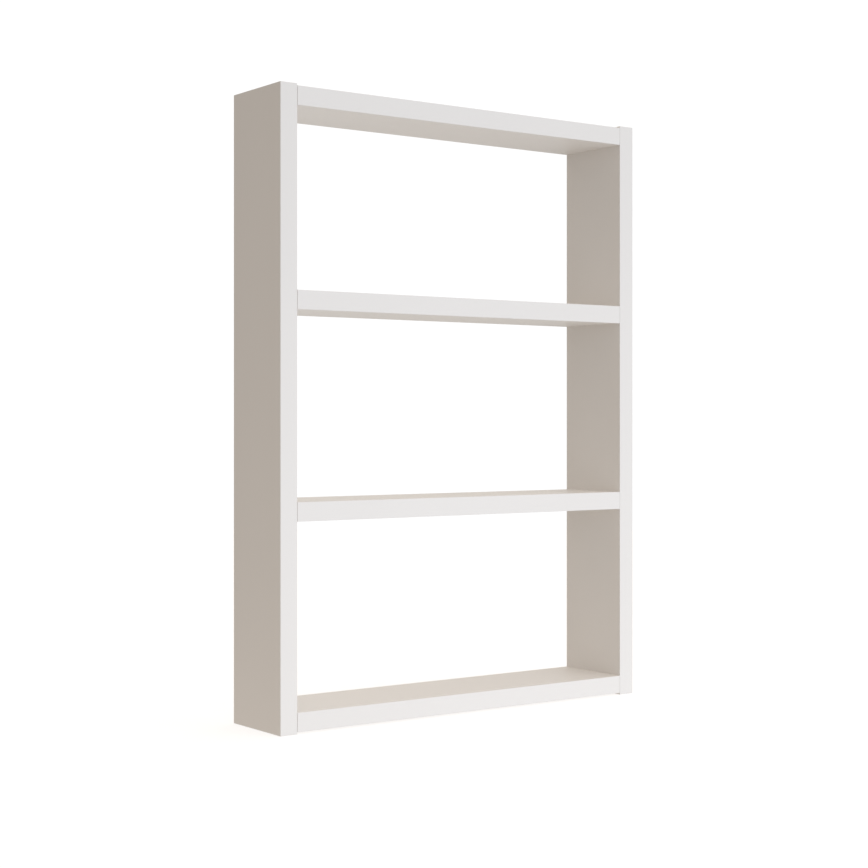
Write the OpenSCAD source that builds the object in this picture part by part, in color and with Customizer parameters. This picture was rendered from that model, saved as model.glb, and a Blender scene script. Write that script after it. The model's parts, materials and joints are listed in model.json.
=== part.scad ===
// Desk hutch: an open, backless frame that stands on a desk against the wall.
// Two full-height sides carry four thick shelves. Every shelf end is pulled up
// by two cam locks on steel bolts and kept in line by one wooden dowel. The cut
// edges that show carry plastic edging, and a keyhole hanger let into the back
// edge of each side takes a wall screw.
// Millimetres. Origin: middle of the underside. +X right, -Y front, +Z up.

/* [Frame] */
// Width over both sides
overall_w = 600; // [400:1:1000]
// Height of the sides
overall_h = 830; // [760:1:1100]
// Depth from front edge to back edge
depth = 120; // [110:1:300]
// Thickness of every board
board_t = 25; // [22:0.5:32]
// How far the sides pass the top shelf and the bottom shelf
end_reveal = 2.5; // [0.5:0.5:10]
// Clear height of the bottom opening
bottom_opening_h = 243.5; // [150:0.5:260]
// Clear height of the middle opening
middle_opening_h = 246; // [150:0.5:260]

/* [Edging] */
// Thickness of the edging
edging_t = 1; // [0.6:0.1:2]
// Radius of the edging's outer corners
edging_r = 0.5; // [0.2:0.1:0.6]

/* [Shelf joints] */
// Distance from a shelf's end to the axis of its cam locks
cam_setback = 34; // [24:1:50]
// Distance between the two cam locks of a shelf end
cam_pitch = 64; // [48:1:72]
// Diameter of the dowel bores
dowel_bore_d = 8; // [6:1:10]
// Length of a dowel
dowel_l = 40; // [35:1:50]

/* [Wall hangers] */
// Distance from the top of a side to the middle of its hanger plate
hanger_drop = 60; // [50:1:70]
// Diameter of the keyhole, where a wall screw's head goes in
keyhole_d = 9; // [8:0.5:10]
// Width of the slot that the wall screw's neck slides up
keyhole_slot_w = 4.6; // [4:0.1:5]

/* [Hidden] */
$fn = 64;

// Sides, rows and lock faces, as directions along X, Y and Z
LEFT = -1;
RIGHT = 1;
FRONT = -1;
BACK = 1;
ABOVE = 1;
BELOW = -1;

// Frame
inner_x = overall_w / 2 - board_t;      // inner face of a side
side_x = overall_w / 2 - board_t / 2;   // middle plane of a side
core_d = depth - 2 * edging_t;          // depth of a board without its edging
shelf_l = 2 * inner_x;
edging_gap = 0.4;                       // shelf edging stops this far short of a side

// Each shelf: height of its middle plane, and the face its cam locks are on,
// which is the one turned away from the eye of somebody sitting at the desk
bottom_mid = end_reveal + board_t / 2;
lower_mid = bottom_mid + board_t + bottom_opening_h;
upper_mid = lower_mid + board_t + middle_opening_h;
top_mid = overall_h - end_reveal - board_t / 2;
BOTTOM_SHELF = [bottom_mid, BELOW];
LOWER_SHELF = [lower_mid, BELOW];
UPPER_SHELF = [upper_mid, ABOVE];
TOP_SHELF = [top_mid, ABOVE];
SHELVES = [BOTTOM_SHELF, LOWER_SHELF, UPPER_SHELF, TOP_SHELF];

// Cam lock, measured down from the board's face and out from the cam's axis
bolt_depth = board_t / 2;               // bolt axis runs in the board's middle plane
cam_r = 7.45;
cam_sink = 0.2;                         // top of the cam below the board's face
cam_bottom = bolt_depth + 4.4;
cam_chamfer = 0.4;
cam_pocket_r = 7.5;
cam_pocket_depth = bolt_depth + 4.5;
hollow_r = 5.5;                         // hollow that holds the bolt's head
hollow_h = 7.4;
hollow_offset = 0.8;                    // off the cam's axis, so turning draws the head in
slot_h = 5;                             // slot that lets only the bolt's neck through
slot_overrun = 50;                      // degrees the slot runs on past the locked place
entry_r = 3.7;                          // opening that lets the bolt's head in
cam_cross = [6, 1.4, 4];                // screwdriver cross: length, width, depth
arrow_l = 2.2;                          // mark that points at the opening
arrow_depth = 0.4;
arrow_inset = 0.4;                      // from the broken corner to the mark's tip

// Bolt, measured out from the cam's axis towards the side
head_tip = 1.4;
head_r = 3.4;
head_nose_r = 2.2;                      // flat nose, widening to the head in a quarter ellipse
head_nose_l = 1.6;
head_shoulder = 3.75;
neck_r = 2.2;
neck_start = head_shoulder + head_r - neck_r;
neck_end = 7.8;
shank_r = 3.5;
shank_chamfer = 0.4;
collar_r = 3.9;
collar_t = 1;
bolt_bore_r = 4;                        // in the shelf's end
seat_gap = 0.05;                        // between the collar and the side
thread_l = 11;
thread_r = 2.45;
thread_root_r = 1.95;
thread_pitch = 1.57;
thread_bore_r = 2.5;                    // in the side
thread_bore_depth = 12;
bolt_cross = [3.6, 0.8, 1.5];           // screwdriver cross: length, width, depth

// Dowel
dowel_r = dowel_bore_d / 2 - 0.05;
dowel_in_side = 12.5;
dowel_end_gap = 0.5;
dowel_chamfer = 1;
flutes = 14;
flute_r = 0.5;

// Hanger plate, and the two screws that hold it
plate_w = 18;
plate_h = 56;
plate_t = 2;
plate_gap = 0.1;
keyhole_drop = 4;                       // keyhole below the middle of the plate
keyhole_slide = 9;                      // keyhole up to the end of its slot
head_room_w = 10;                       // hollow behind the plate for the wall screw's head
head_room_h = 22;
head_room_depth = 10;
screw_pitch = 40;
screw_l = 16;
screw_r = 1.75;
screw_root_r = 1.2;
screw_head_r = 3.5;
screw_sink = 0.15;
screw_hole_r = 1.9;
screw_bore_r = 1.8;
screw_turn = 1.3;                       // height of one turn of its thread
screw_neck_l = 1;                       // plain part between head and thread
screw_point = 3;
screw_cross = [3.8, 0.9, 1.5];
countersink_r = screw_head_r + screw_sink + 0.05;
countersink_depth = countersink_r - screw_hole_r;
plate_z = overall_h - hanger_drop;

CUT = 1;                                // how far a cutter passes the face it cuts

board_colour = [0.90, 0.89, 0.88];
edging_colour = [0.93, 0.92, 0.92];
zinc_colour = [0.72, 0.73, 0.74];
steel_colour = [0.62, 0.63, 0.65];
beech_colour = [0.80, 0.65, 0.47];

// ---- Helpers ----

// Zigzag [radius, height] outline of a thread's side from height start upwards
function thread_outline(start, turns, pitch, root_r, crest_r) = [
    for (turn = [0 : turns - 1])
        each [[root_r, start + turn * pitch], [crest_r, start + (turn + 0.5) * pitch]]
];

// Turns a shape built along +Z so that it points along X, to the left or right
module point_sideways(side) {
    rotate([0, side * 90, 0]) children();
}

// Moves a shape to the end face of a shelf (X) at a row (Y) and height (Z)
module at_shelf_end(side, y, z) {
    translate([side * inner_x, y, z]) children();
}

// Flat shape with half-round ends, long way along Y
module stadium(width, height) {
    square([width, height - width], center = true);
    for (end = [-1, 1]) translate([0, end * (height - width) / 2]) circle(d = width);
}

// Points of a quarter ellipse, from a flat nose out to the full radius
function nose_outline(start, nose_r, full_r, nose_l) = [
    for (a = [0 : 22.5 : 90])
        [nose_r + (full_r - nose_r) * sin(a), start + nose_l * (1 - cos(a))]
];

// Screwdriver cross [length, width, depth], sunk from height 0 downwards
module cross_recess(size) {
    for (turn = [0, 90]) rotate(turn)
        translate([-size[0] / 2, -size[1] / 2, -size[2]])
        cube([size[0], size[1], size[2] + CUT]);
}

// ---- Boards ----

// Side without its edging: bores for the bolts and dowels of the four shelves,
// and the seat of the hanger plate in its back edge
module side_panel(side) {
    color(board_colour) difference() {
        translate([side * side_x - board_t / 2, -core_d / 2, edging_t])
            cube([board_t, core_d, overall_h - 2 * edging_t]);
        for (shelf = SHELVES) {
            for (row = [FRONT, BACK])
                at_shelf_end(side, row * cam_pitch / 2, shelf[0]) point_sideways(side)
                    translate([0, 0, -CUT])
                    cylinder(r = thread_bore_r, h = thread_bore_depth + CUT);
            at_shelf_end(side, 0, shelf[0]) point_sideways(side)
                translate([0, 0, -CUT])
                cylinder(d = dowel_bore_d, h = dowel_in_side + dowel_end_gap + CUT);
        }
        plate_seat(side);
        at_plate(side) {
            linear_extrude(plate_t + head_room_depth) stadium(head_room_w, head_room_h);
            for (end = [-1, 1]) translate([0, end * screw_pitch / 2, 0])
                cylinder(r = screw_bore_r, h = screw_l + CUT);
        }
    }
}

// Shelf without its edging: cam pockets, bolt bores and dowel bores at both ends
module shelf_board(shelf) {
    color(board_colour) difference() {
        translate([0, 0, shelf[0]]) cube([shelf_l, core_d, board_t], center = true);
        for (side = [LEFT, RIGHT]) {
            for (row = [FRONT, BACK]) {
                at_shelf_end(side, row * cam_pitch / 2, shelf[0]) point_sideways(side)
                    translate([0, 0, -cam_setback])
                    cylinder(r = bolt_bore_r, h = cam_setback + CUT);
                at_cam(shelf, side, row) translate([0, 0, -cam_pocket_depth])
                    cylinder(r = cam_pocket_r, h = cam_pocket_depth + CUT);
            }
            at_shelf_end(side, 0, shelf[0]) point_sideways(side)
                translate([0, 0, dowel_in_side - dowel_l - dowel_end_gap])
                cylinder(d = dowel_bore_d, h = dowel_l);
        }
    }
}

// ---- Edging ----

// Section of the edging, centred on X: glued face at y = 0, rounded face at -Y
module edging_section(width) {
    intersection() {
        translate([-width / 2, -edging_t]) square([width, edging_t]);
        union() {
            translate([-width / 2, -edging_t + edging_r]) square([width, edging_t]);
            translate([-width / 2 + edging_r, -edging_t])
                square([width - 2 * edging_r, edging_t]);
            for (end = [-1, 1])
                translate([end * (width / 2 - edging_r), -edging_t + edging_r])
                circle(r = edging_r);
        }
    }
}

// Strip of edging that stands on z = 0 and faces -Y
module edging_strip(length) {
    linear_extrude(length) edging_section(board_t);
}

// Edging on the front or back edge of a side, full height with rounded ends
module side_long_edging(side, face) {
    color(edging_colour) difference() {
        translate([side * side_x, face * core_d / 2, 0])
            rotate(face == FRONT ? 0 : 180)
            intersection() {
                edging_strip(overall_h);
                translate([-board_t / 2, 0, overall_h / 2]) rotate([0, 90, 0])
                    linear_extrude(board_t) edging_section(overall_h);
            }
        if (face == BACK) plate_seat(side);
    }
}

// Edging on the top or bottom edge of a side, between the long strips
module side_end_edging(side, end) {
    z = end == ABOVE ? overall_h - edging_t : edging_t;
    color(edging_colour) translate([side * side_x, -end * core_d / 2, z])
        rotate([-90 * end, 0, 0]) edging_strip(core_d);
}

// Edging on the front or back edge of a shelf, with a fine gap at either side
module shelf_edging(shelf, face) {
    color(edging_colour)
        translate([edging_gap - shelf_l / 2, face * core_d / 2, shelf[0]])
        rotate([0, 90, 0]) rotate(face == FRONT ? 0 : 180)
        edging_strip(shelf_l - 2 * edging_gap);
}

// ---- Cam locks, bolts and dowels ----

// Places a shape on the board face over a cam's axis: z = 0 on the face, the
// shelf below it, and the bolt coming in along +X
module at_cam(shelf, side, row) {
    translate([
        side * (inner_x - cam_setback),
        row * cam_pitch / 2,
        shelf[0] + shelf[1] * board_t / 2,
    ])
        rotate([shelf[1] == ABOVE ? 0 : 180, 0, side == RIGHT ? 0 : 180]) children();
}

// Cam lock in its locked place. Its opening is turned away from the bolt, and
// turning it half a turn anticlockwise brings the opening to the bolt's head.
module cam_lock(shelf, side, row) {
    color(zinc_colour) at_cam(shelf, side, row) difference() {
        cam_body();
        translate([-hollow_offset, 0, -bolt_depth - hollow_h / 2])
            cylinder(r = hollow_r, h = hollow_h);
        translate([0, 0, -bolt_depth - slot_h / 2]) rotate(180)
            rotate_extrude(angle = 180 + slot_overrun)
            translate([neck_r, 0]) square([cam_r, slot_h]);
        translate([0, 0, -bolt_depth]) rotate([0, -90, 0])
            cylinder(r = entry_r, h = cam_r + CUT);
        translate([0, 0, -cam_sink]) cross_recess(cam_cross);
        translate([-cam_r + cam_chamfer + arrow_inset, 0, -cam_sink - arrow_depth])
            linear_extrude(arrow_depth + CUT)
            polygon([[0, 0], [arrow_l, arrow_l / 2], [arrow_l, -arrow_l / 2]]);
    }
}

// Round body of a cam lock, with its top and bottom corners broken
module cam_body() {
    rotate_extrude() polygon([
        [0, -cam_bottom],
        [cam_r - cam_chamfer, -cam_bottom],
        [cam_r, -cam_bottom + cam_chamfer],
        [cam_r, -cam_sink - cam_chamfer],
        [cam_r - cam_chamfer, -cam_sink],
        [0, -cam_sink],
    ]);
}

// One bolt along +Z from the cam's axis: head, neck, shank, collar and the
// thread that is screwed into the side
module cam_bolt() {
    thread_start = cam_setback - seat_gap;
    turns = floor(thread_l / thread_pitch);
    difference() {
        rotate_extrude() polygon(concat(
            [[0, head_tip]],
            nose_outline(head_tip, head_nose_r, head_r, head_nose_l),
            [
                [head_r, head_shoulder],
                [neck_r, neck_start],
                [neck_r, neck_end],
                [shank_r - shank_chamfer, neck_end],
                [shank_r, neck_end + shank_chamfer],
                [shank_r, thread_start - collar_t - shank_chamfer],
                [collar_r, thread_start - collar_t],
                [collar_r, thread_start],
            ],
            thread_outline(thread_start, turns, thread_pitch, thread_root_r, thread_r),
            [
                [thread_root_r, thread_start + turns * thread_pitch],
                [0, thread_start + turns * thread_pitch],
            ]
        ));
        translate([0, 0, head_tip]) rotate([180, 0, 0]) cross_recess(bolt_cross);
    }
}

// The eight bolts of one side
module cam_bolts(side) {
    color(steel_colour) for (shelf = SHELVES, row = [FRONT, BACK])
        translate([side * (inner_x - cam_setback), row * cam_pitch / 2, shelf[0]])
        point_sideways(side) cam_bolt();
}

// One fluted dowel along +Z, with its ends tapered
module dowel() {
    difference() {
        rotate_extrude() polygon([
            [0, 0],
            [dowel_r - dowel_chamfer, 0],
            [dowel_r, dowel_chamfer],
            [dowel_r, dowel_l - dowel_chamfer],
            [dowel_r - dowel_chamfer, dowel_l],
            [0, dowel_l],
        ]);
        for (flute = [0 : flutes - 1]) rotate(flute * 360 / flutes)
            translate([dowel_r + flute_r / 2, 0, -CUT])
            cylinder(r = flute_r, h = dowel_l + 2 * CUT);
    }
}

// The four dowels of one side
module dowels(side) {
    color(beech_colour) for (shelf = SHELVES)
        at_shelf_end(side, 0, shelf[0]) point_sideways(side)
        translate([0, 0, dowel_in_side - dowel_l]) dowel();
}

// ---- Wall hangers ----

// Places a shape in the back edge of a side: z = 0 on the edge, +Z into the
// wood, and the plate's long way along Y
module at_plate(side) {
    translate([side * side_x, depth / 2, plate_z]) rotate([90, 0, 0]) children();
}

// Room that the hanger plate takes up in the side and its edging
module plate_seat(side) {
    at_plate(side) translate([0, 0, -CUT])
        linear_extrude(plate_t + CUT) stadium(plate_w + 2 * plate_gap, plate_h + 2 * plate_gap);
}

// Plate with a keyhole and two countersunk screw holes, flush with the edge
module hanger_plate(side) {
    color(steel_colour) at_plate(side) difference() {
        linear_extrude(plate_t) stadium(plate_w, plate_h);
        translate([0, -keyhole_drop, -CUT]) {
            cylinder(d = keyhole_d, h = plate_t + 2 * CUT);
            translate([0, keyhole_slide, 0])
                cylinder(d = keyhole_slot_w, h = plate_t + 2 * CUT);
            translate([-keyhole_slot_w / 2, 0, 0])
                cube([keyhole_slot_w, keyhole_slide, plate_t + 2 * CUT]);
        }
        for (end = [-1, 1]) translate([0, end * screw_pitch / 2, 0]) {
            translate([0, 0, -CUT]) cylinder(r = screw_hole_r, h = plate_t + 2 * CUT);
            translate([0, 0, -CUT]) cylinder(
                r1 = countersink_r + CUT, r2 = screw_hole_r, h = countersink_depth + CUT
            );
        }
    }
}

// The two countersunk screws of a hanger plate
module hanger_screws(side) {
    color(steel_colour) at_plate(side)
        for (end = [-1, 1]) translate([0, end * screw_pitch / 2, 0]) hanger_screw();
}

// One countersunk wood screw, driven along +Z from its head
module hanger_screw() {
    neck = screw_sink + screw_head_r - screw_r;
    thread_start = neck + screw_neck_l;
    turns = floor((screw_l - screw_point - thread_start) / screw_turn);
    thread_end = thread_start + turns * screw_turn;
    difference() {
        rotate_extrude() polygon(concat(
            [[0, screw_sink], [screw_head_r, screw_sink], [screw_r, neck]],
            thread_outline(thread_start, turns, screw_turn, screw_root_r, screw_r),
            [[screw_root_r, thread_end], [0, screw_l]]
        ));
        translate([0, 0, screw_sink]) rotate([180, 0, 0]) cross_recess(screw_cross);
    }
}

side_panel(LEFT);  // left_side_panel
side_panel(RIGHT);  // right_side_panel
shelf_board(TOP_SHELF);  // top_shelf
shelf_board(UPPER_SHELF);  // upper_shelf
shelf_board(LOWER_SHELF);  // lower_shelf
shelf_board(BOTTOM_SHELF);  // bottom_shelf

side_long_edging(LEFT, FRONT);  // left_side_front_edging
side_long_edging(LEFT, BACK);  // left_side_back_edging
side_end_edging(LEFT, ABOVE);  // left_side_top_edging
side_end_edging(LEFT, BELOW);  // left_side_bottom_edging
side_long_edging(RIGHT, FRONT);  // right_side_front_edging
side_long_edging(RIGHT, BACK);  // right_side_back_edging
side_end_edging(RIGHT, ABOVE);  // right_side_top_edging
side_end_edging(RIGHT, BELOW);  // right_side_bottom_edging
shelf_edging(TOP_SHELF, FRONT);  // top_shelf_front_edging
shelf_edging(TOP_SHELF, BACK);  // top_shelf_back_edging
shelf_edging(UPPER_SHELF, FRONT);  // upper_shelf_front_edging
shelf_edging(UPPER_SHELF, BACK);  // upper_shelf_back_edging
shelf_edging(LOWER_SHELF, FRONT);  // lower_shelf_front_edging
shelf_edging(LOWER_SHELF, BACK);  // lower_shelf_back_edging
shelf_edging(BOTTOM_SHELF, FRONT);  // bottom_shelf_front_edging
shelf_edging(BOTTOM_SHELF, BACK);  // bottom_shelf_back_edging

cam_lock(TOP_SHELF, LEFT, FRONT);  // top_shelf_cam_left_front
cam_lock(TOP_SHELF, LEFT, BACK);  // top_shelf_cam_left_back
cam_lock(TOP_SHELF, RIGHT, FRONT);  // top_shelf_cam_right_front
cam_lock(TOP_SHELF, RIGHT, BACK);  // top_shelf_cam_right_back
cam_lock(UPPER_SHELF, LEFT, FRONT);  // upper_shelf_cam_left_front
cam_lock(UPPER_SHELF, LEFT, BACK);  // upper_shelf_cam_left_back
cam_lock(UPPER_SHELF, RIGHT, FRONT);  // upper_shelf_cam_right_front
cam_lock(UPPER_SHELF, RIGHT, BACK);  // upper_shelf_cam_right_back
cam_lock(LOWER_SHELF, LEFT, FRONT);  // lower_shelf_cam_left_front
cam_lock(LOWER_SHELF, LEFT, BACK);  // lower_shelf_cam_left_back
cam_lock(LOWER_SHELF, RIGHT, FRONT);  // lower_shelf_cam_right_front
cam_lock(LOWER_SHELF, RIGHT, BACK);  // lower_shelf_cam_right_back
cam_lock(BOTTOM_SHELF, LEFT, FRONT);  // bottom_shelf_cam_left_front
cam_lock(BOTTOM_SHELF, LEFT, BACK);  // bottom_shelf_cam_left_back
cam_lock(BOTTOM_SHELF, RIGHT, FRONT);  // bottom_shelf_cam_right_front
cam_lock(BOTTOM_SHELF, RIGHT, BACK);  // bottom_shelf_cam_right_back

cam_bolts(LEFT);  // left_cam_bolts
cam_bolts(RIGHT);  // right_cam_bolts
dowels(LEFT);  // left_dowels
dowels(RIGHT);  // right_dowels
hanger_plate(LEFT);  // left_hanger_plate
hanger_plate(RIGHT);  // right_hanger_plate
hanger_screws(LEFT);  // left_hanger_screws
hanger_screws(RIGHT);  // right_hanger_screws
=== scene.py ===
"""Looks of the desk hutch: materials, light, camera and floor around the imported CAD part. Metres."""

import json
import math

import bmesh
import bpy
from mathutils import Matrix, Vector


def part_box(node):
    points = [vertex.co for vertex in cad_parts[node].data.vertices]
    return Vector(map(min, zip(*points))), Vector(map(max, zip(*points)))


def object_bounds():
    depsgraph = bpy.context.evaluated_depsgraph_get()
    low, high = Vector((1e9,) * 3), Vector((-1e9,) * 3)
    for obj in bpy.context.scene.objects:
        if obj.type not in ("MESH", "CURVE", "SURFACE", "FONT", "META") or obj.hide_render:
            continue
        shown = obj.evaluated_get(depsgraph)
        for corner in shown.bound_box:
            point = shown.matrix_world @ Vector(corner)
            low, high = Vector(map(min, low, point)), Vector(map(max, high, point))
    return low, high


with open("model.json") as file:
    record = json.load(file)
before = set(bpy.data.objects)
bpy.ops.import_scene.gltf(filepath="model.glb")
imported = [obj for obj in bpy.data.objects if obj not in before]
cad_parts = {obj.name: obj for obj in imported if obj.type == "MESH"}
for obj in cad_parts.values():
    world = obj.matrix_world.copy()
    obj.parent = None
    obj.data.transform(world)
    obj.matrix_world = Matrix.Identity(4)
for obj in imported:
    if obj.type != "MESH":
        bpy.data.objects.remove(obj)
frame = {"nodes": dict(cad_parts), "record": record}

MM = 0.001
CAD_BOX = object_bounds()
(LEFT, FRONT, FOOT), (RIGHT, BACK, TOP) = CAD_BOX
MIDDLE = Vector(((LEFT + RIGHT) / 2, (FRONT + BACK) / 2, (FOOT + TOP) / 2))
NODES = frame["nodes"]
SLOT_OF = {part["node"]: part["material_slot"] for part in frame["record"]["subparts"]}

# ---- Node graphs ----


class Graph:
    """Adds shader nodes to one tree and links them, so that a material reads like a formula."""

    def __init__(self, tree):
        self.tree = tree
        tree.nodes.clear()

    def feed(self, socket, value):
        """Links an output socket, or sets a number, vector or colour of three numbers."""
        if isinstance(value, bpy.types.NodeSocket):
            self.tree.links.new(value, socket)
        elif socket.type == "RGBA":
            socket.default_value = (*value, 1.0)
        else:
            socket.default_value = value

    def node(self, kind, inputs=(), **settings):
        """A new node; inputs is a list of (socket name or number, value or output socket)."""
        made = self.tree.nodes.new(kind)
        for key, value in settings.items():
            setattr(made, key, value)
        for socket, value in inputs:
            self.feed(made.inputs[socket], value)
        return made

    def math(self, operation, *values):
        return self.node("ShaderNodeMath", enumerate(values), operation=operation).outputs[0]

    def place(self):
        """The point being shaded, in the part's own frame."""
        return self.node("ShaderNodeTexCoord").outputs["Object"]

    def stretched(self, scales):
        """The same point, scaled along each axis: a small factor draws a pattern out into streaks."""
        pair = [(0, self.place()), (1, scales)]
        return self.node("ShaderNodeVectorMath", pair, operation="MULTIPLY").outputs[0]

    def along(self, axis):
        """The point's coordinate along axis 0, 1 or 2."""
        return self.node("ShaderNodeSeparateXYZ", [(0, self.place())]).outputs[axis]

    def noise(self, vector, per_metre, detail=2.0):
        """A smooth random pattern from 0 to 1."""
        inputs = [("Vector", vector), ("Scale", per_metre), ("Detail", detail)]
        return self.node("ShaderNodeTexNoise", inputs).outputs["Fac"]

    def cells(self, vector, per_metre):
        """A random colour in each cell of a Voronoi pattern."""
        inputs = [("Vector", vector), ("Scale", per_metre)]
        return self.node("ShaderNodeTexVoronoi", inputs).outputs["Color"]

    def swing(self, pattern, by, around=1.0):
        """A 0 to 1 pattern turned into a number that swings by so much either side of another."""
        return self.math("MULTIPLY_ADD", pattern, 2 * by, around - by)

    def shade(self, colour, factor):
        """A colour made lighter or darker by a factor."""
        pair = [(0, colour), ("Scale", factor)]
        return self.node("ShaderNodeVectorMath", pair, operation="SCALE").outputs[0]

    def mix(self, factor, first, second):
        """The first colour where the factor is 0, the second where it is 1.

        A mix node has a set of sockets for each kind of data: inputs 6 and 7 and output 2 are colours.
        """
        made = self.node("ShaderNodeMix", data_type="RGBA")
        for socket, value in ((0, factor), (6, first), (7, second)):
            self.feed(made.inputs[socket], value)
        return made.outputs[2]

    def ramp(self, pattern, stops):
        """A colour ramp; stops is a list of (position, colour)."""
        made = self.node("ShaderNodeValToRGB", [("Fac", pattern)])
        elements = made.color_ramp.elements
        while len(elements) < len(stops):
            elements.new(0.5)
        for element, (position, colour) in zip(elements, stops):
            element.position = position
            element.color = (*colour, 1.0)
        return made.outputs["Color"]

    def bump(self, height, depth):
        """A surface bumped by a 0 to 1 height, where 1 stands depth metres above 0."""
        inputs = [("Height", height), ("Distance", depth)]
        return self.node("ShaderNodeBump", inputs).outputs["Normal"]

    def surface(self, **inputs):
        """Ends the graph in a Principled surface."""
        named = [(name.replace("_", " "), value) for name, value in inputs.items()]
        principled = self.node("ShaderNodeBsdfPrincipled", named)
        self.node("ShaderNodeOutputMaterial", [("Surface", principled.outputs[0])])


def new_material(name):
    """An empty node-based material and the graph that fills it."""
    material = bpy.data.materials.new(name)
    material.use_nodes = True
    return material, Graph(material.node_tree)


# ---- Boards and edging ----

WHITE_BOARD = (0.865, 0.840, 0.810)
WHITE_EDGING = (0.872, 0.862, 0.848)
CHIP_COLOURS = [(0.0, (0.30, 0.19, 0.10)), (0.45, (0.48, 0.34, 0.19)), (1.0, (0.66, 0.50, 0.31))]

# How thick the melamine is, and how much rougher than it the raw chipboard is
MELAMINE_SKIN = 0.3 * MM
RAW_ROUGHER = 0.45

# How fine the patterns are, in spots per metre
CLOUDS = 7
SPECKLE = 1100
PEEL = 900
CHIPS = 620
CRUMBS = 1600
STREAKS = 2600

# How deep the bumps are, and how much the streaks are drawn out along the edging
PEEL_DEPTH = 0.012 * MM
CRUMBS_OVER_PEEL = 20
STREAK_DEPTH = 0.008 * MM
STREAK_STRETCH = 50


def board_material(node):
    """Satin white melamine on both faces of a board, and raw chipboard wherever it is cut.

    Raw is anywhere deeper than the melamine, measured across the board's thinnest way.
    """
    material, g = new_material(node + "_melamine")
    low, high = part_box(node)
    thin = min(range(3), key=lambda axis: high[axis] - low[axis])
    middle, half = (low[thin] + high[thin]) / 2, (high[thin] - low[thin]) / 2
    off_middle = g.math("ABSOLUTE", g.math("SUBTRACT", g.along(thin), middle))
    raw = g.math("LESS_THAN", off_middle, half - MELAMINE_SKIN)

    clouds = g.noise(g.place(), CLOUDS, detail=3)
    speckle = g.noise(g.place(), SPECKLE)
    white = g.shade(g.shade(WHITE_BOARD, g.swing(clouds, by=0.012)), g.swing(speckle, by=0.012))
    chip = g.node("ShaderNodeSeparateColor", [(0, g.cells(g.place(), CHIPS))]).outputs[0]
    peel = g.noise(g.place(), PEEL, detail=3)
    crumbs = g.math("MULTIPLY", g.noise(g.place(), CRUMBS, detail=4), CRUMBS_OVER_PEEL)
    satin = g.swing(clouds, by=0.05, around=0.42)
    g.surface(
        Base_Color=g.mix(raw, white, g.ramp(chip, CHIP_COLOURS)),
        Roughness=g.math("MULTIPLY_ADD", raw, RAW_ROUGHER, satin),
        Normal=g.bump(g.math("MULTIPLY_ADD", raw, crumbs, peel), PEEL_DEPTH),
    )
    return material


def edging_material(axis):
    """Satin white plastic strip with faint streaks from its extrusion along axis 0, 1 or 2."""
    material, g = new_material("edging_along_" + "xyz"[axis])
    lengthwise = [1.0, 1.0, 1.0]
    lengthwise[axis] = 1 / STREAK_STRETCH
    streaks = g.noise(g.stretched(lengthwise), STREAKS, detail=3)
    clouds = g.noise(g.place(), CLOUDS)
    white = g.shade(g.shade(WHITE_EDGING, g.swing(clouds, by=0.008)), g.swing(streaks, by=0.012))
    g.surface(
        Base_Color=white,
        Roughness=g.swing(streaks, by=0.07, around=0.36),
        Normal=g.bump(streaks, STREAK_DEPTH),
    )
    return material


# ---- Fittings ----

ZINC_COLOURS = [(0.3, (0.54, 0.55, 0.56)), (0.7, (0.72, 0.73, 0.74))]
BEECH_COLOURS = [(0.3, (0.50, 0.32, 0.17)), (0.55, (0.66, 0.46, 0.28)), (0.75, (0.76, 0.58, 0.38))]

# How fine the patterns are, in spots per metre
ZINC_BLOTCHES = 330
ZINC_GRAIN = 5200
BOLT_PATCHES = 260
HANGER_PATCHES = 140
SCREW_PATCHES = 420
SCRATCHES = 4200
BEECH_GRAIN = 1500
BEECH_FLECKS = 5200

# How deep the bumps are
ZINC_GRAIN_DEPTH = 0.03 * MM
SCRATCH_DEPTH = 0.01 * MM
BEECH_GRAIN_DEPTH = 0.05 * MM


def zinc_material():
    """Die-cast zinc: dull grey, grainy from the mould, slightly blotchy."""
    material, g = new_material("cast_zinc")
    blotches = g.noise(g.place(), ZINC_BLOTCHES, detail=3)
    grain = g.noise(g.place(), ZINC_GRAIN)
    g.surface(
        Base_Color=g.shade(g.ramp(blotches, ZINC_COLOURS), g.swing(grain, by=0.10)),
        Metallic=1.0,
        Roughness=g.swing(blotches, by=0.12, around=0.44),
        Normal=g.bump(grain, ZINC_GRAIN_DEPTH),
    )
    return material


def plated_material(name, cool, warm, per_metre):
    """Zinc-plated steel, with patches between a cool and a warm tint of its passivation."""
    material, g = new_material(name)
    patches = g.noise(g.place(), per_metre, detail=3)
    scratches = g.noise(g.stretched((1.0, 1.0, 0.08)), SCRATCHES)
    tint = g.ramp(patches, [(0.35, cool), (0.65, warm)])
    g.surface(
        Base_Color=g.shade(tint, g.swing(scratches, by=0.08)),
        Metallic=1.0,
        Roughness=g.swing(patches, by=0.08, around=0.33),
        Normal=g.bump(scratches, SCRATCH_DEPTH),
    )
    return material


def beech_material():
    """Raw beech with its grain along the dowels, which lie along X."""
    material, g = new_material("raw_beech")
    grain = g.noise(g.stretched((0.06, 1.0, 1.0)), BEECH_GRAIN, detail=4)
    flecks = g.noise(g.stretched((0.25, 1.0, 1.0)), BEECH_FLECKS)
    g.surface(
        Base_Color=g.shade(g.ramp(grain, BEECH_COLOURS), g.swing(flecks, by=0.12)),
        Roughness=g.swing(flecks, by=0.1, around=0.68),
        Normal=g.bump(grain, BEECH_GRAIN_DEPTH),
    )
    return material


def dress(node, material):
    """Gives a CAD node one material in place of the plain one that it was packed with."""
    slots = NODES[node].data.materials
    slots.clear()
    slots.append(material)


def long_axis(node):
    low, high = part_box(node)
    return max(range(3), key=lambda axis: high[axis] - low[axis])


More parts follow.
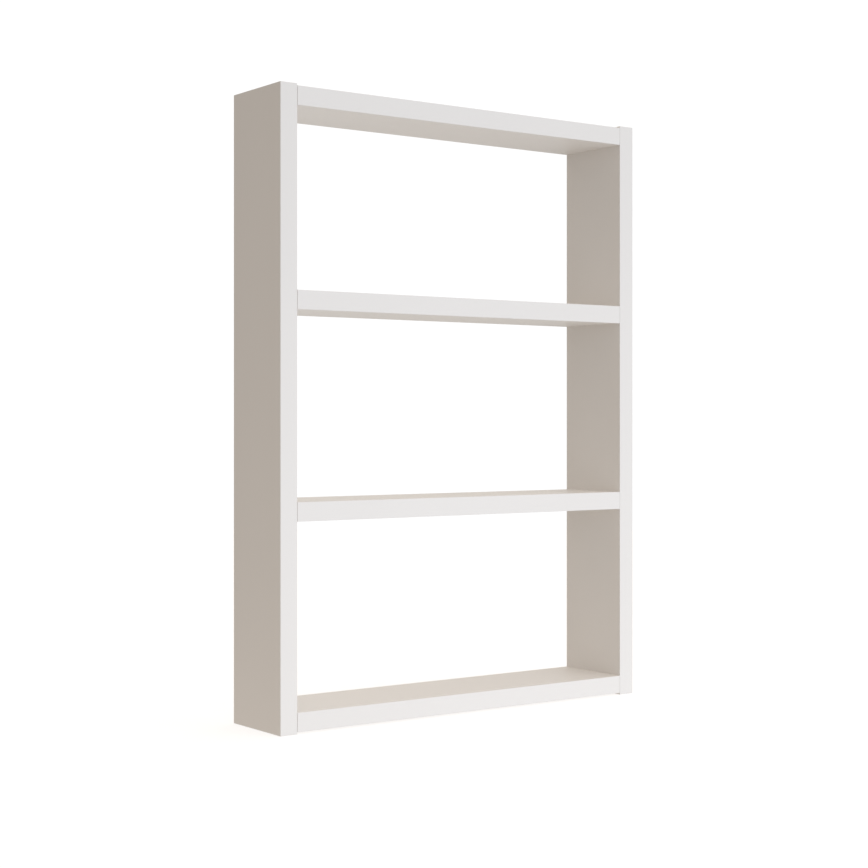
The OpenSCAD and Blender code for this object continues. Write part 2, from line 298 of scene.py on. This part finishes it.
EDGING = [edging_material(axis) for axis in range(3)]
FITTINGS = {
    "cam_zinc": zinc_material(),
    "dowel_beech": beech_material(),
    "bolt_steel": plated_material(
        "bolt_plating", cool=(0.60, 0.62, 0.64), warm=(0.66, 0.62, 0.50), per_metre=BOLT_PATCHES
    ),
    "hanger_steel": plated_material(
        "hanger_plating", cool=(0.56, 0.58, 0.60), warm=(0.62, 0.61, 0.57), per_metre=HANGER_PATCHES
    ),
    "screw_steel": plated_material(
        "screw_plating", cool=(0.60, 0.60, 0.58), warm=(0.64, 0.58, 0.42), per_metre=SCREW_PATCHES
    ),
}

for node, slot in SLOT_OF.items():
    if slot == "white_board":
        dress(node, board_material(node))
    elif slot == "white_edging":
        dress(node, EDGING[long_axis(node)])
    else:
        dress(node, FITTINGS[slot])

# ---- Light ----

# Tints: lamp light from the ceiling and off the floor, daylight in front, white walls on the right and
# behind, and the dim end of the room on the left
WARM = (1.0, 0.90, 0.795)
COOL = (1.0, 1.05, 1.135)
SOFT = (1.0, 0.985, 0.96)
DUSK = (1.0, 0.755, 0.51)

# What the eye sees of the room, a little over full white
SEEN_WHITE = (1.05, 1.05, 1.05)

# What reaches the hutch from each side of the room: direction, level and tint
ROOM_SIDES = [
    ((1, 0, 0), 0.80, SOFT),
    ((-1, 0, 0), 0.18, DUSK),
    ((0, 1, 0), 0.55, SOFT),
    ((0, -1, 0), 0.83, COOL),
    ((0, 0, 1), 1.20, WARM),
    ((0, 0, -1), 0.35, WARM),
]


def room_light():
    """A soft studio: white to the eye, with a smooth light that differs from side to side.

    A direction takes the squares of its own x, y and z as its shares of the three sides it faces.
    """
    world = bpy.data.worlds.new("studio")
    world.use_nodes = True
    bpy.context.scene.world = world
    g = Graph(world.node_tree)
    direction = g.node("ShaderNodeTexCoord").outputs["Generated"]
    light = (0, 0, 0)
    for side, level, tint in ROOM_SIDES:
        facing = g.node("ShaderNodeVectorMath", [(0, direction), (1, side)], operation="DOT_PRODUCT")
        share = g.math("POWER", g.math("MAXIMUM", facing.outputs["Value"], 0), 2)
        term = g.shade(tint, g.math("MULTIPLY", share, level))
        light = g.node("ShaderNodeVectorMath", [(0, light), (1, term)]).outputs[0]
    seen = g.node("ShaderNodeLightPath").outputs["Is Camera Ray"]
    background = g.node("ShaderNodeBackground", [("Color", g.mix(seen, light, SEEN_WHITE))])
    g.node("ShaderNodeOutputWorld", [("Surface", background.outputs[0])])


def softbox(name, place, aim, size, watts, tint):
    """A square soft light that isn't seen itself; size is its width."""
    data = bpy.data.lights.new(name, "AREA")
    data.size = size
    data.energy = watts
    data.color = tint
    made = bpy.data.objects.new(name, data)
    made.location = place
    made.rotation_euler = (Vector(aim) - Vector(place)).to_track_quat("-Z", "Y").to_euler()
    made.visible_camera = False
    bpy.context.scene.collection.objects.link(made)


room_light()

# A soft daylight from low in front on the right, for the lower halves of the fronts
softbox(
    "low_softbox",
    place=(RIGHT + 0.6, FRONT - 1.64, FOOT + 0.15),
    aim=(MIDDLE.x, MIDDLE.y, FOOT + 0.3),
    size=1.2,
    watts=4.0,
    tint=COOL,
)

# What the floor in front of the hutch sends up; it shines through the floor, which casts no shadow
softbox(
    "floor_glow",
    place=(MIDDLE.x, FRONT - 0.44, FOOT - 0.03),
    aim=(MIDDLE.x, FRONT - 0.44, TOP),
    size=2.0,
    watts=3.3,
    tint=WARM,
)

# ---- Floor ----

FLOOR_R = 4.0
FLOOR_GAP = 0.2 * MM

# How much light the floor returns, and the glow of its own that brings it up to full white
FLOOR_WHITE = 0.5
FLOOR_LIFT = 0.65


def floor():
    """A plain white floor that only shows the soft shadow, and lets the eye through from below.

    Only the eye sees it: the light that a real floor sends up is part of the room's light. It
    stays a hair below the hutch, so that the two faces don't lie in one plane.
    """
    mesh = bpy.data.meshes.new("floor")
    shape = bmesh.new()
    bmesh.ops.create_circle(shape, cap_ends=True, segments=128, radius=FLOOR_R)
    shape.to_mesh(mesh)
    shape.free()
    made = bpy.data.objects.new("floor", mesh)
    made.location.z = -FLOOR_GAP
    bpy.context.scene.collection.objects.link(made)
    made.visible_diffuse = False
    made.visible_glossy = False
    made.visible_shadow = False

    material, g = new_material("pale_floor")
    mesh.materials.append(material)
    white = g.node("ShaderNodeBsdfDiffuse", [("Color", (FLOOR_WHITE,) * 3)]).outputs[0]
    lift = g.node("ShaderNodeEmission", [("Color", (1, 1, 1)), ("Strength", FLOOR_LIFT)]).outputs[0]
    above = g.node("ShaderNodeAddShader", [(0, white), (1, lift)]).outputs[0]
    clear = g.node("ShaderNodeBsdfTransparent").outputs[0]
    below = g.node("ShaderNodeNewGeometry").outputs["Backfacing"]
    shown = g.node("ShaderNodeMixShader", [(0, below), (1, above), (2, clear)])
    g.node("ShaderNodeOutputMaterial", [("Surface", shown.outputs[0])])


floor()

# ---- Camera ----

CAMERA_PLACE = (LEFT - 1.131, FRONT - 1.8934, MIDDLE.z - 0.0154)
CAMERA_TURN_DEG = 35.907
CAMERA_LENS_MM = 71.99

# The lens's shift upwards as a share of the picture's width; a minus shifts it down
CAMERA_RISE = -0.0151


def camera():
    """Level, at the hutch's mid-height, looking past its left side, with the lens shifted a little."""
    data = bpy.data.cameras.new("camera")
    data.lens = CAMERA_LENS_MM
    data.shift_y = CAMERA_RISE
    made = bpy.data.objects.new("camera", data)
    made.location = CAMERA_PLACE
    made.rotation_euler = (math.radians(90), 0, math.radians(-CAMERA_TURN_DEG))
    bpy.context.scene.collection.objects.link(made)
    bpy.context.scene.camera = made


camera()
bpy.context.scene.view_settings.view_transform = "Standard"
